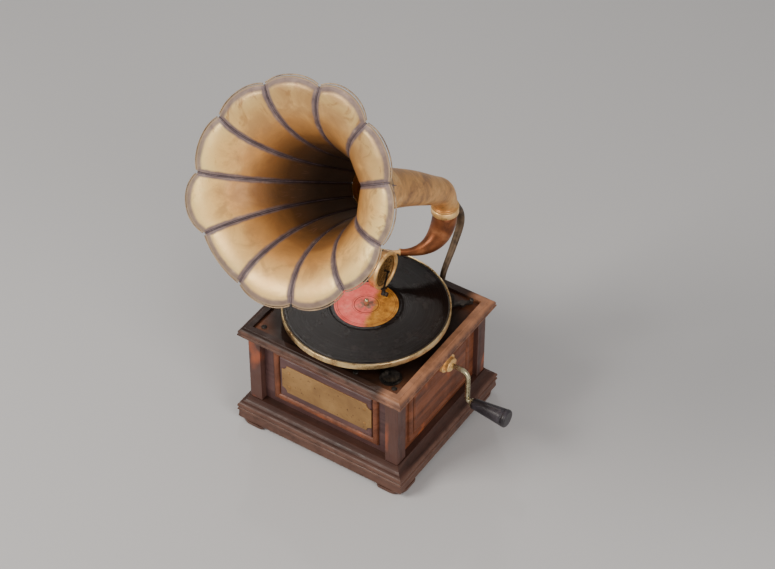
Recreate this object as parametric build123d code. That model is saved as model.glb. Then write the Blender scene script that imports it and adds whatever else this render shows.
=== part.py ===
"""Wind-up phonograph: a wooden case with a spring motor, a turntable, a tone arm and a petalled horn.

Millimetres. +Z is up, +X is the crank's side and -Y is the front. Every piece is drawn about the middle of
the case, with z = 0 at the base moulding's underside. It is moved by ORIGIN when it is written, so that the
model's own origin is the middle of the whole outline on the floor.
"""

from build123d import *
import math
import os

# ---------------------------------------------------------------- case
BASE_W, BASE_D = 305.0, 280.0  # tips of the base moulding
TOP_W, TOP_D = 296.0, 272.0  # tips of the top moulding
BODY_W, BODY_D = 272.6, 249.6  # outer faces of the corner posts
FOOT_H = 9.0  # the feet hang this far below the base moulding, whose underside is at z = 0
BASE_TOP = 45.0
BODY_TOP = 174.0
FRAME_TOP = 191.0
FRAME_LIP = 17.5  # width of the top moulding, from its tips to the motor board
BASE_RIM = 31.0  # width of the base moulding
POST = 22.0
BOARD_T = 12.0
BOARD_TOP = BODY_TOP + BOARD_T
PANEL_T = 6.5
FRONT_RECESS = 11.8  # recess of the front and back panels behind the posts' faces
SIDE_RECESS = 8.0
FIELD_RISE = 4.0  # the raised field stands out of its panel
SIDE_RISE = 5.5
FIELD_INSET = 30.0  # the field's edges, in from the panel's edges
BEAD_W = 12.0  # the moulding round the field
PLATE_W, PLATE_H, PLATE_T = 164.0, 56.0, 1.4
PLATE_X, PLATE_Z = 3.0, 110.0

# ---------------------------------------------------------------- turntable and record
SPINDLE_Y = -3.0
PLATTER_R = 127.0
RIM_R = 129.6
PLATTER_Z = 203.0
FELT_Z = 210.5
RECORD_Z = 211.9
RECORD_R = 125.0
RECORD_TOP = 213.5
LABEL_R = 49.2
LABEL_T = 0.15
SPINDLE_R = 4.0
TIP_R = 3.6
TIP_FREE = (213.95, 222.4)  # the free length of the record pin
NECK_IN_RECORD = 3.2  # the spindle's radius below that, inside the record and its label
RUN = 0.05  # radial clearance of a running fit

# ---------------------------------------------------------------- spring motor
PLATE_LOW, PLATE_HIGH, PLATE_THICK = 80.0, 122.0, 3.0
MOTOR_X = (-24.0, 98.0)
MOTOR_Y = (-50.0, 62.0)
PILLAR_R = 4.0
CRANK_Y, CRANK_Z = 14.0, 148.0
SPUR_MODULE = 1.0
BARREL_TEETH, PINION_TEETH = 84, 20
WORM_TEETH, WORM_MODULE = 48, 0.8
BEVEL_MODULE, BEVEL_WHEEL, BEVEL_PINION = 2.0, 24, 12
BEVEL_INNER = 0.7  # the teeth's inner end, as a share of the way from the apex
RATCHET_TEETH = 24
BARREL_R = 38.0
GOVERNOR_Z = 131.0

# ---------------------------------------------------------------- crank
SHAFT_R = 4.0
BUSH_R = 8.0
ARM_X = 173.0  # where the crank's arm hangs down
THROW = 60.0
GRIP_X = (183.0, 246.0)
GRIP_R = (8.5, 14.5)
BEND_R = (13.0, 6.0)  # the crank's upper and lower bends

# ---------------------------------------------------------------- horn, tone arm and soundbox
HORN_X, HORN_Y = 45.0, 145.6  # the upright axis that the horn and the tone arm turn on
COLLAR_Z = (313.0, 325.0)
COLLAR_R = 21.5
TUBE_R = 18.0
WALL = 1.2
ELBOW_BEND = 60.0
ELBOW_TURN = 52.0  # degrees
NECK_R = (21.3, 23.8, 27.1, 29.6)  # the neck's radius from the elbow upwards
PETALS = 11
PETAL_STEP = 360.0 / PETALS
FIRST_SEAM = -170.0  # degrees round the bell's axis
BELL_TILT = 31.0  # the bell's axis above the horizontal
BELL_Y, BELL_Z = -246.0, 634.0  # middle of the rim
BELL_SAG = 12.0  # how far the bell's middle line droops below its axis at the throat
BELL_PROFILE = [(235.0, 33.5), (165.0, 40.0), (94.0, 50.0), (21.0, 76.0), (-7.0, 118.0), (0.0, 149.0)]
PETAL_BULGE = [0.0, 1.0, 3.0, 6.0, 9.0, 2.0]  # how far each stretch of a petal swells towards the listener
PETAL_T = 1.1
SEAM_GAP = 0.6  # from the seam's plane to a petal's edge
SEAM_DEPTH = 4.6  # how far the folded seams stand out behind the petals' front
BOX_X, BOX_Y, BOX_Z = 8.5, 41.0, 252.0  # front middle of the soundbox
BOX_R, BOX_DEPTH = 31.5, 17.0
STYLUS_LEAN = 23.6  # degrees from the vertical, towards the front

ORIGIN = (46.75, -65.0, -FOOT_H)  # middle of the whole outline, on the floor


def block(x, y, z):
    """A box between two limits on each axis."""
    size = Box(x[1] - x[0], y[1] - y[0], z[1] - z[0])
    return Pos((x[0] + x[1]) / 2, (y[0] + y[1]) / 2, (z[0] + z[1]) / 2) * size


def rod(radius, z, x=0.0, y=0.0):
    """An upright cylinder."""
    return Pos(x, y, (z[0] + z[1]) / 2) * Cylinder(radius, z[1] - z[0])


def bar(radius, x, y, z):
    """A cylinder along X."""
    return Pos((x[0] + x[1]) / 2, y, z) * Rot(0, 90, 0) * Cylinder(radius, x[1] - x[0])


def spun(points, x=0.0, y=0.0):
    """A closed outline of (radius, height) points, turned about an upright axis."""
    return Pos(x, y, 0) * revolve(Plane.XZ * make_face(Polyline(*points, close=True)), Axis.Z)


def several(pieces):
    """Separate solids kept in one node."""
    return Compound(children=[s for piece in pieces for s in piece.solids()])


def screw_head(radius, height, slot=1.0):
    """A domed, slotted head that stands on z = 0."""
    dome = radius * 3
    head = Pos(0, 0, height - dome) * Sphere(dome) & rod(radius, (0, height))
    return head - block((-radius, radius), (-slot / 2, slot / 2), (height * 0.55, height * 2))


def tube_solid(points, radii, flatness=1.0):
    """A smooth solid through round or oval sections, square to the line through the points."""
    sections = []
    for i, point in enumerate(points):
        before, after = points[max(i - 1, 0)], points[min(i + 1, len(points) - 1)]
        along = Vector(*after) - Vector(*before)
        side = Vector(1, 0, 0) if abs(along.normalized().X) < 0.9 else Vector(0, 1, 0)
        across = (side - along.normalized() * side.dot(along.normalized())).normalized()
        plane = Plane(Vector(*point), x_dir=across, z_dir=along)
        sections.append(plane * Ellipse(radii[i], radii[i] * flatness))
    return loft(sections)


# ---------------------------------------------------------------- case pieces
def mitred_frame(profile, width, depth, reach):
    """Four mitred lengths of one moulding. The profile's points are (inset from the tips, height)."""

    def length(run, half):
        outline = Polyline(*[(inset - half, z) for inset, z in profile], close=True)
        stick = extrude(Plane.YZ.offset(-run / 2) * make_face(outline), run)
        tips = [(-run / 2, -half), (run / 2, -half)]
        ends = tips + [(run / 2 - reach, reach - half), (reach - run / 2, reach - half)]
        lowest = min(z for _, z in profile) - 1
        tallest = max(z for _, z in profile) + 1
        return stick & Pos(0, 0, lowest) * extrude(make_face(Polyline(*ends, close=True)), tallest - lowest)

    front = length(width, depth / 2)
    side = length(depth, width / 2)
    return [front, Rot(0, 0, 180) * front, Rot(0, 0, 90) * side, Rot(0, 0, -90) * side]


def arc_points(centre, radius, start, end, count=6):
    """Points on a round stretch of a profile."""
    turns = [math.radians(start + (end - start) * i / count) for i in range(count + 1)]
    return [(centre[0] + radius * math.cos(a), centre[1] + radius * math.sin(a)) for a in turns]


def base_moulding():
    cove = arc_points((2.5, 44.0), 11.5, -5, -78)
    swell = arc_points((7.0, 25.5), 7.0, 112, 180)
    bead = arc_points((3.0, 18.5), 3.0, 110, 250)
    body_inset = (BASE_W - BODY_W) / 2
    start = [(BASE_RIM, BASE_TOP), (body_inset - 2, BASE_TOP)]
    end = [(2.0, 12.0), (1.0, 3.0), (2.5, 0.0), (BASE_RIM, 0.0)]
    return several(mitred_frame(start + cove + swell + bead + end, BASE_W, BASE_D, BASE_RIM))


def top_frame():
    quarter = arc_points((8.0, 182.8), 7.2, 90, 175)
    bead = arc_points((2.6, 178.6), 2.6, 110, 250)
    start = [(FRAME_LIP, FRAME_TOP), (8.8, FRAME_TOP)]
    end = [(3.2, 175.4), (4.2, BODY_TOP), (FRAME_LIP, BODY_TOP)]
    return several(mitred_frame(start + quarter + bead + end, TOP_W, TOP_D, FRAME_LIP))


def corner_feet():
    """Rounded lobes under the four corners."""
    feet = []
    inset, size, corner_r = 0.8, 48.0, 22.0
    for sx in (-1, 1):
        for sy in (-1, 1):
            x = sorted((sx * (BASE_W / 2 - inset), sx * (BASE_W / 2 - size)))
            y = sorted((sy * (BASE_D / 2 - inset), sy * (BASE_D / 2 - size)))
            foot = block(x, y, (-FOOT_H, 0))
            corner = foot.edges().filter_by(Axis.Z).sort_by_distance((sx * BASE_W, sy * BASE_D, 0))
            foot = fillet(corner[0], corner_r)
            foot = fillet(foot.edges().filter_by(Axis.Z), 8)
            feet.append(fillet(foot.faces().sort_by(Axis.Z)[0].edges(), 5.5))
    return several(feet)


def corner_posts():
    posts = []
    for sx in (-1, 1):
        for sy in (-1, 1):
            x = sorted((sx * BODY_W / 2, sx * (BODY_W / 2 - POST)))
            y = sorted((sy * BODY_D / 2, sy * (BODY_D / 2 - POST)))
            post = block(x, y, (BASE_TOP, BODY_TOP))
            corner = post.edges().filter_by(Axis.Z).sort_by_distance((sx * BODY_W, sy * BODY_D, BASE_TOP))
            posts.append(chamfer(corner[0], 1.2))
    return several(posts)


def panel(width, recess, rise):
    """A wall panel facing -Y with its outer face at y = recess, and a raised field with bevelled edges."""
    board = block((-width / 2, width / 2), (recess, recess + PANEL_T), (BASE_TOP, BODY_TOP))
    half = width / 2 - FIELD_INSET
    z = (BASE_TOP + FIELD_INSET - 6, BODY_TOP - FIELD_INSET + 6)
    field = block((-half, half), (recess - rise, recess), z)
    return board + chamfer(field.faces().sort_by(Axis.Y)[0].edges(), 2.0)


def panel_bead(width, recess):
    """The mitred moulding round a panel's raised field, facing -Y."""
    half = width / 2 - FIELD_INSET + BEAD_W + 0.2
    low, high = BASE_TOP + FIELD_INSET - 6.2 - BEAD_W, BODY_TOP - FIELD_INSET + 6.2 + BEAD_W
    rounded = arc_points((BEAD_W / 2, 0), BEAD_W / 2 - 0.5, 0, 180, 8)
    profile = [(BEAD_W, 0.0)] + rounded + [(0.0, 0.0)]
    sticks = mitred_frame(profile, 2 * half, high - low, BEAD_W)
    place = Pos(0, recess, (low + high) / 2) * Rot(90, 0, 0)
    return [place * stick for stick in sticks]


FRONT_SPAN = BODY_W - 2 * POST
SIDE_SPAN = BODY_D - 2 * POST


def front_panel():
    return Pos(0, -BODY_D / 2, 0) * panel(FRONT_SPAN, FRONT_RECESS, FIELD_RISE)


def back_panel():
    return Rot(0, 0, 180) * front_panel()


def left_panel():
    return Rot(0, 0, -90) * (Pos(0, -BODY_W / 2, 0) * panel(SIDE_SPAN, SIDE_RECESS, SIDE_RISE))


def right_panel():
    wall = Rot(0, 0, 90) * (Pos(0, -BODY_W / 2, 0) * panel(SIDE_SPAN, SIDE_RECESS, SIDE_RISE))
    return wall - bar(BUSH_R, (100, 150), CRANK_Y, CRANK_Z)


def panel_beads():
    """The four walls' beads. The right wall's is cut for the crank's bush."""
    bush_hole = bar(BUSH_R, (100, 150), CRANK_Y, CRANK_Z)
    front = [Pos(0, -BODY_D / 2, 0) * stick for stick in panel_bead(FRONT_SPAN, FRONT_RECESS)]
    side = [Pos(0, -BODY_W / 2, 0) * stick for stick in panel_bead(SIDE_SPAN, SIDE_RECESS)]
    turned = [Rot(0, 0, 180) * stick for stick in front]
    left = [Rot(0, 0, -90) * stick for stick in side]
    right = [Rot(0, 0, 90) * stick - bush_hole for stick in side]
    return several(front + turned + left + right)


PLATE_Y = -BODY_D / 2 + FRONT_RECESS - FIELD_RISE  # the front panel's field


def front_plate():
    notch = 9.0
    outline = Rectangle(PLATE_W, PLATE_H)
    for sx in (-1, 1):
        for sz in (-1, 1):
            outline -= Pos(sx * PLATE_W / 2, sz * PLATE_H / 2) * Circle(notch)
    sheet = extrude(Plane.XZ * outline, PLATE_T)
    return Pos(PLATE_X, PLATE_Y, PLATE_Z) * sheet


def plate_pins():
    pins = []
    for sx in (-1, 1):
        for sz in (-1, 1):
            x, z = PLATE_X + sx * (PLATE_W / 2 - 13), PLATE_Z + sz * (PLATE_H / 2 - 13)
            head = Pos(x, PLATE_Y - PLATE_T, z) * Rot(90, 0, 0) * screw_head(2.2, 1.3, 0.4)
            pins.append(head)
    return several(pins)


BRAKE_X, BRAKE_Y = 108.0, 100.0
DIAL_X, DIAL_Y = 102.0, -91.0
BOARD_SCREWS = [(-118, -106), (119, -107), (-118, 106), (52, -110), (-40, 110), (-120, 0)]
BRACKET_SCREWS = (104.0, 128.0)


def motor_board():
    half_w, half_d = TOP_W / 2 - FRAME_LIP - 0.2, TOP_D / 2 - FRAME_LIP - 0.2
    board = block((-half_w, half_w), (-half_d, half_d), (BODY_TOP, BOARD_TOP))
    board -= rod(14, (170, 190), 0, SPINDLE_Y)
    board -= rod(3.0 + RUN, (170, 190), DIAL_X, DIAL_Y)
    return board - rod(3.0 + RUN, (170, 190), BRAKE_X, BRAKE_Y)


def board_screws():
    heads = []
    for i, (x, y) in enumerate(BOARD_SCREWS):
        heads.append(Pos(x, y, BOARD_TOP) * Rot(0, 0, 35 * i) * screw_head(4.2, 2.0))
    return several(heads)


def speed_dial():
    """The scale under the speed knob: a thin ring with raised marks."""
    ring = rod(17, (0, 1.2)) - rod(3.2, (-1, 2))
    for i in range(9):
        ring += Rot(0, 0, 150 + 22.5 * i) * block((14.6, 16.4), (-0.35, 0.35), (1.0, 1.6))
    return Pos(DIAL_X, DIAL_Y, BOARD_TOP) * ring


def speed_knob():
    """A milled knob on a short spindle that ends in a finger below the board."""
    knob = rod(13.4, (1.8, 5.2))
    for i in range(24):
        knob -= Rot(0, 0, 15 * i) * rod(0.8, (1, 6), 13.7, 0)
    knob += rod(3.0, (-BOARD_T - 8, 1.8)) + rod(3.2, (5.2, 9.5), -6.5, 0)
    knob += block((-14, 3), (-2.5, 2.5), (-BOARD_T - 8, -BOARD_T - 4))
    return Pos(DIAL_X, DIAL_Y, BOARD_TOP) * knob


def brake_lever():
    """A flat lever on a pivot screw, with a knob at one end and a leather shoe by the platter's rim."""
    towards = math.degrees(math.atan2(SPINDLE_Y - BRAKE_Y, -BRAKE_X))
    reach = math.hypot(BRAKE_X, BRAKE_Y - SPINDLE_Y) - RIM_R - 0.4
    low, high = 3.0, 6.0  # the arm's faces above the board
    arm = block((-16, reach - 2), (-3.4, 3.4), (low, high))
    arm += rod(5.5, (low, high)) + rod(5.0, (0.4, low)) + rod(3.0, (-BOARD_T - 3, 0.4))
    arm += rod(3.0, (high, high + 2.5), -14, 0) + Pos(-14, 0, high + 2.5) * Sphere(3.6)
    arm += block((reach - 5.5, reach - 0.6), (-4.5, 4.5), (low, 22.0))
    return Pos(BRAKE_X, BRAKE_Y, BOARD_TOP) * Rot(0, 0, towards) * arm


# ---------------------------------------------------------------- turntable
def platter():
    profile = [
        (SPINDLE_R, 192), (12, 192), (14, 205.5), (60, 206.5), (122, 206.5), (124, PLATTER_Z),
        (PLATTER_R, PLATTER_Z), (PLATTER_R, FELT_Z), (SPINDLE_R, FELT_Z),
    ]
    return spun(profile, 0, SPINDLE_Y)


def platter_rim():
    top = RECORD_TOP - 0.7
    middle = (PLATTER_R + 0.05 + RIM_R) / 2
    crown = arc_points((middle, top - 1.2), (RIM_R - PLATTER_R - 0.05) / 2, 0, 180, 8)
    return spun([(PLATTER_R + 0.05, PLATTER_Z + 0.5), (RIM_R, PLATTER_Z + 0.5)] + crown, 0, SPINDLE_Y)


def turntable_felt():
    mat = rod(126.4, (FELT_Z, RECORD_Z), 0, SPINDLE_Y)
    return mat - rod(SPINDLE_R + 1, (FELT_Z - 1, RECORD_Z + 1), 0, SPINDLE_Y)


def record():
    """A shellac record with a raised edge and a raised land round its label."""
    groove = RECORD_TOP - 0.35
    profile = [
        (TIP_R + RUN, RECORD_Z), (RECORD_R - 0.6, RECORD_Z), (RECORD_R, RECORD_Z + 0.6),
        (RECORD_R, RECORD_TOP - 0.4), (RECORD_R - 0.7, RECORD_TOP), (RECORD_R - 3.5, RECORD_TOP),
        (RECORD_R - 4.5, groove), (LABEL_R + 8, groove), (LABEL_R + 5, RECORD_TOP), (TIP_R + RUN, RECORD_TOP),
    ]
    return spun(profile, 0, SPINDLE_Y)


def record_label():
    disc = rod(LABEL_R, (RECORD_TOP, RECORD_TOP + LABEL_T)) - rod(TIP_R + RUN, (200, 230))
    return Pos(0, SPINDLE_Y, 0) * disc


def spindle():
    """The motor's upright spindle, turned down to the pin that the record sits on."""
    low, high = TIP_FREE
    profile = [
        (0, 77), (SPINDLE_R, 77), (SPINDLE_R, FELT_Z), (NECK_IN_RECORD, FELT_Z), (NECK_IN_RECORD, low),
        (TIP_R, low), (TIP_R, high), (TIP_R - 0.8, high + 1.6), (1.2, high + 2.8), (0, high + 3),
    ]
    return spun(profile, 0, SPINDLE_Y)


def polar(radius, degrees):
    return (radius * math.cos(math.radians(degrees)), radius * math.sin(math.radians(degrees)))


def tooth_outline(teeth, root, tip, root_share=0.27, tip_share=0.12):
    """A wheel's outline with straight-flanked teeth, thin enough to run with backlash."""
    pitch = 360 / teeth
    points = []
    for k in range(teeth):
        for radius, share in ((root, -root_share), (tip, -tip_share), (tip, tip_share), (root, root_share)):
            points.append(polar(radius, (k + share) * pitch))
    return make_face(Polyline(*points, close=True))


def spur(teeth, module, z, bore):
    """A spur gear with its first tooth towards +X."""
    outline = tooth_outline(teeth, module * (teeth / 2 - 1.15), module * (teeth / 2 + 0.85))
    return Pos(0, 0, z[0]) * extrude(outline, z[1] - z[0]) - rod(bore, (z[0] - 1, z[1] + 1))


BARREL_REACH = SPUR_MODULE * (BARREL_TEETH + PINION_TEETH) / 2
BARREL_Y = CRANK_Y
BARREL_X = math.sqrt(BARREL_REACH**2 - (BARREL_Y - SPINDLE_Y) ** 2)
BARREL_ANGLE = math.degrees(math.atan2(BARREL_Y - SPINDLE_Y, BARREL_X))  # from the spindle to the barrel
WORM_Y = SPINDLE_Y - WORM_TEETH * WORM_MODULE / 2 - 5.4


def spindle_gears():
    """The driving pinion, and the wheel that turns the governor's worm."""
    pinion = Rot(0, 0, BARREL_ANGLE) * spur(PINION_TEETH, SPUR_MODULE, (87, 94), SPINDLE_R)
    wheel = spur(WORM_TEETH, WORM_MODULE, (GOVERNOR_Z - 3, GOVERNOR_Z + 3), SPINDLE_R)
    return several([Pos(0, SPINDLE_Y, 0) * pinion, Pos(0, SPINDLE_Y, 0) * wheel])


# ---------------------------------------------------------------- barrel and winding work
def spring_barrel():
    """The drum with its toothed flange. Its first gap faces the spindle's pinion."""
    pitch = 360 / BARREL_TEETH
    flange = Rot(0, 0, BARREL_ANGLE + 180 + pitch / 2) * spur(BARREL_TEETH, SPUR_MODULE, (88, 93), 6 + RUN)
    drum = rod(BARREL_R, (93, 114)) - rod(BARREL_R - 1.6, (93, 115))
    return Pos(BARREL_X, BARREL_Y, 0) * (flange + drum)


def barrel_cover():
    lid = rod(BARREL_R, (114, 116)) - rod(6 + RUN, (110, 120))
    for i in range(6):
        lid -= Rot(0, 0, 60 * i) * rod(3.5, (110, 120), 24, 0)
    return Pos(BARREL_X, BARREL_Y, 0) * lid


def mainspring():
    """A coiled steel ribbon in separate turns, as it lies half wound in the drum."""
    turns = [rod(r, (94, 113)) - rod(r - 0.6, (93, 114)) for r in (12, 15.5, 19, 22.5, 26, 29.5, 33)]
    return Pos(BARREL_X, BARREL_Y, 0) * several(turns)


def barrel_arbor():
    arbor = rod(6, (84, 121)) + rod(5, (76, 84)) + rod(5, (121, 131))
    return Pos(BARREL_X, BARREL_Y, 0) * arbor


def bevel(teeth, other):
    """A bevel gear with its apex at the origin and its large end below it."""
    radius = BEVEL_MODULE * teeth / 2
    height = BEVEL_MODULE * other / 2
    slope = math.atan2(radius, height)
    stretch = BEVEL_MODULE * (math.cos(slope) + math.sin(slope) * radius / height)
    tip, root = radius + 0.8 * stretch, radius - 1.15 * stretch
    large = Pos(0, 0, -height) * tooth_outline(teeth, root, tip)
    small = Pos(0, 0, -height * BEVEL_INNER) * scale(tooth_outline(teeth, root, tip), BEVEL_INNER)
    return loft([large, small], ruled=True)


def winding_wheel():
    """The bevel wheel and, under it, the ratchet wheel that the click holds."""
    wheel = Pos(0, 0, CRANK_Z) * bevel(BEVEL_WHEEL, BEVEL_PINION)
    wheel += rod(9, (131, 136.2))
    points = []
    for k in range(RATCHET_TEETH):
        points += [polar(17, 15 * k), polar(14.6, 15 * k + 0.8)]
    wheel += Pos(0, 0, 128) * extrude(make_face(Polyline(*points, close=True)), 3)
    wheel -= rod(5, (120, 131))
    return Pos(BARREL_X, BARREL_Y, 0) * wheel


CLICK_X, CLICK_Y = BARREL_X + 27.0, BARREL_Y + 8.0


def click_pawl():
    """A pawl on its stud, with its beak on the crest of a ratchet tooth."""
    eye = rod(4, (128.3, 130.7), CLICK_X, CLICK_Y)
    tip = [(BARREL_X + 18.2, BARREL_Y - 2), (BARREL_X + 17.3, BARREL_Y + 1)]
    beak = [(CLICK_X - 1, CLICK_Y + 3.8), (CLICK_X + 3.5, CLICK_Y)] + tip
    pawl = eye + Pos(0, 0, 128.3) * extrude(make_face(Polyline(*beak, close=True)), 2.4)
    return pawl - rod(2 + RUN, (120, 140), CLICK_X, CLICK_Y)


def click_spring():
    """The click's stud and a leaf spring that leans on the pawl."""
    stud = rod(2, (125, 132), CLICK_X, CLICK_Y) + rod(3.4, (131, 132), CLICK_X, CLICK_Y)
    leaf = block((CLICK_X + 5.2, CLICK_X + 5.8), (CLICK_Y - 14, CLICK_Y + 6), (128, 131))
    foot = block((CLICK_X + 5.2, CLICK_X + 12), (CLICK_Y - 20, CLICK_Y - 14), (125, 131))
    return several([stud, leaf + foot])


def pillar_places():
    return [(x, y) for x in (MOTOR_X[0] + 8, MOTOR_X[1] - 8) for y in (MOTOR_Y[0] + 8, MOTOR_Y[1] - 8)]


def motor_plates():
    plates = []
    for z in (PLATE_LOW, PLATE_HIGH):
        plate = block(MOTOR_X, MOTOR_Y, (z, z + PLATE_THICK))
        plate = fillet(plate.edges().filter_by(Axis.Z), 8)
        plate -= rod(SPINDLE_R + RUN, (z - 1, z + 5), 0, SPINDLE_Y)
        plate -= rod(5 + RUN, (z - 1, z + 5), BARREL_X, BARREL_Y)
        plates.append(plate)
    return several(plates)


def motor_pillars():
    """Pillars between the plates, longer ones that hang the motor from its board, and the nuts below."""
    spans = ((PLATE_LOW + PLATE_THICK, PLATE_HIGH), (PLATE_HIGH + PLATE_THICK, BODY_TOP))
    pillars = [rod(PILLAR_R, span, x, y) for x, y in pillar_places() for span in spans]
    nut = Pos(0, 0, PLATE_LOW - 5) * extrude(RegularPolygon(6, 6), 5)
    return several(pillars + [Pos(x, y, 0) * nut for x, y in pillar_places()])


# ---------------------------------------------------------------- governor
GOV_ENDS = (-84.0, 17.0)


def governor_shaft():
    """The shaft, with its worm, the fixed collar and the friction disc's sleeve."""
    shaft = bar(2.2, GOV_ENDS, WORM_Y, GOVERNOR_Z)
    shaft += bar(4.6, (-9, 9), WORM_Y, GOVERNOR_Z) + bar(5.4, (-30, -25), WORM_Y, GOVERNOR_Z)
    return shaft + bar(5.4, (-70, -64), WORM_Y, GOVERNOR_Z)


def governor_disc():
    return bar(15, (-72.4, -70.2), WORM_Y, GOVERNOR_Z) - bar(2.2, (-80, -60), WORM_Y, GOVERNOR_Z)


def around_governor(piece):
    """Three copies of a piece drawn with the governor's shaft along X at the origin."""
    return several([Pos(0, WORM_Y, GOVERNOR_Z) * Rot(120 * i, 0, 0) * piece for i in range(3)])


def governor_springs():
    line = Polyline((-27, 5.9), (-34, 10.2), (-60, 10.2), (-67, 5.9))
    strip = extrude(Plane.XZ * trace(line, 0.4), 2.0, both=True)
    return around_governor(strip)


def governor_weights():
    lead = Pos(-47, 0, 14.2) * Sphere(4.6) & block((-60, -30), (-9, 9), (10.45, 30))
    return around_governor(lead)


def governor_bearings():
    """Two hangers under the motor board that carry the governor's pivots."""
    hangers = []
    for x in (GOV_ENDS[0] - 2, GOV_ENDS[1] - 4):
        hanger = block((x, x + 6), (WORM_Y - 6, WORM_Y + 6), (GOVERNOR_Z - 5.5, BODY_TOP))
        hangers.append(hanger - bar(2.2 + RUN, (GOV_ENDS[0], GOV_ENDS[1] + 3), WORM_Y, GOVERNOR_Z))
    return several(hangers)


# ---------------------------------------------------------------- crank
FIELD_X = BODY_W / 2 - SIDE_RECESS + SIDE_RISE  # the right panel's raised field
ESCUTCHEON_T = 3.5


def escutcheon():
    """The oval brass plate round the crank's shaft, with a raised boss."""
    plate = extrude(Plane.YZ * Ellipse(18, 13), ESCUTCHEON_T)
    boss = extrude(Plane.YZ * Ellipse(13, 10.5), 11.7)
    plate = fillet((plate + boss).faces().sort_by(Axis.X)[-1].edges(), 3.0)
    return Pos(FIELD_X, CRANK_Y, CRANK_Z) * plate - bar(SHAFT_R + RUN, (100, 160), CRANK_Y, CRANK_Z)


def escutcheon_screws():
    head = Rot(0, 90, 0) * screw_head(1.5, 0.9, 0.4)
    x = FIELD_X + ESCUTCHEON_T
    return several([Pos(x, CRANK_Y + dy, CRANK_Z) * head for dy in (-15.4, 15.4)])


def winding_bush():
    inner = BODY_W / 2 - SIDE_RECESS - PANEL_T - 4
    bush = bar(BUSH_R, (inner, FIELD_X), CRANK_Y, CRANK_Z)
    return bush - bar(SHAFT_R + RUN, (100, 160), CRANK_Y, CRANK_Z)


BEVEL_BACK = BARREL_X + BEVEL_MODULE * BEVEL_WHEEL / 2


def crank_arm():
    """The winding shaft, bent down into the arm and out again into the grip's pin, with a stop collar."""
    low = CRANK_Z - THROW
    upper_r, lower_r = BEND_R
    start = BEVEL_BACK - 5
    path = Wire([
        Line((start, CRANK_Z), (ARM_X - upper_r, CRANK_Z)),
        CenterArc((ARM_X - upper_r, CRANK_Z - upper_r), upper_r, 90, -90),
        Line((ARM_X, CRANK_Z - upper_r), (ARM_X, low + lower_r)),
        CenterArc((ARM_X + lower_r, low + lower_r), lower_r, 180, 90),
        Line((ARM_X + lower_r, low), (GRIP_X[1] - 6, low)),
    ])
    arm = sweep(Plane.YZ.offset(start) * Pos(0, CRANK_Z) * Circle(SHAFT_R - 0.001), Plane.XZ * path)
    arm += bar(6.5, (GRIP_X[0] - 3.3, GRIP_X[0] - 0.3), 0, low)
    return Pos(0, CRANK_Y, 0) * arm


def winding_pinion():
    half_pitch = 180 / BEVEL_PINION
    gear = Rot(0, -90, 0) * Rot(0, 0, half_pitch) * bevel(BEVEL_PINION, BEVEL_WHEEL)
    gear = Pos(BARREL_X, CRANK_Y, CRANK_Z) * gear
    gear += bar(8, (BEVEL_BACK - 0.1, BEVEL_BACK + 8), CRANK_Y, CRANK_Z)
    return gear - bar(SHAFT_R, (BEVEL_BACK - 5, 200), CRANK_Y, CRANK_Z)


def grip():
    """The turned wooden grip: slim at the arm, swelling to a rounded end with a bead round it."""
    x0, x1 = GRIP_X
    r0, r1 = GRIP_R
    crown = arc_points((x1 - 3.0, r1 - 3.0), 3.0, 0, 90, 4)
    crown.reverse()
    outline = [(x0, SHAFT_R + RUN), (x0, r0 - 1), (x0 + 1, r0)]
    outline += [(x1 - 9, r1 - 0.6), (x1 - 8, r1 - 1.6), (x1 - 6.6, r1)]
    outline += crown + [(x1, 0), (x1 - 5, 0), (x1 - 5, SHAFT_R + RUN)]
    body = revolve(Plane.XY * make_face(Polyline(*outline, close=True)), Axis.X)
    return Pos(0, CRANK_Y, CRANK_Z - THROW) * body


# ---------------------------------------------------------------- horn support
BRACKET_LINE = [
    (123, 122), (130, 146), (142.6, 162), (143.4, 182), (154, 200), (168, 217),
    (181, 235), (190.5, 252), (192, 270), (185, 290), (176, 306), (164, 319),
]  # (y, z), from the case's back to the collar
BRACKET_RADII = [5.0, 5.0, 5.0, 5.0, 5.2, 5.6, 6.0, 6.4, 6.8, 6.8, 6.6, 6.0]


def horn_collar():
    """The ring that holds the horn's foot above and the tone arm's flange below."""
    low, high = COLLAR_Z
    inner_lip = TUBE_R - 1.5 + RUN
    profile = [
        (inner_lip, low), (COLLAR_R - 1.5, low), (COLLAR_R, low + 1.5), (COLLAR_R, high - 1.5),
        (COLLAR_R - 1.5, high), (TUBE_R + RUN, high), (TUBE_R + RUN, low + 2.8), (inner_lip, low + 2.8),
    ]
    return spun(profile, HORN_X, HORN_Y)


def horn_bracket():
    """The cast arm behind the case that carries the collar."""
    arm = tube_solid([(HORN_X, y, z) for y, z in BRACKET_LINE], BRACKET_RADII, 0.85)
    foot_y = BODY_D / 2 - FRONT_RECESS + FIELD_RISE
    foot = block((HORN_X - 13, HORN_X + 13), (foot_y, foot_y + 5), (94, 138))
    foot = fillet(foot.edges().filter_by(Axis.Y), 6)
    collar_space = rod(COLLAR_R, (COLLAR_Z[0] - 20, COLLAR_Z[1] + 20), HORN_X, HORN_Y)
    return foot + arm - block((0, 90), (90, foot_y), (80, 170)) - collar_space


def bracket_screws():
    y = BODY_D / 2 - FRONT_RECESS + FIELD_RISE + 5
    head = Rot(-90, 0, 0) * screw_head(3.0, 1.6)
    return several([Pos(HORN_X + dx, y, z) * head for dx in (-9, 9) for z in BRACKET_SCREWS])


# ---------------------------------------------------------------- horn
def upright(y, z):
    """A point in the horn's middle plane, counted from the upright axis."""
    return (HORN_X, y, z)


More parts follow.
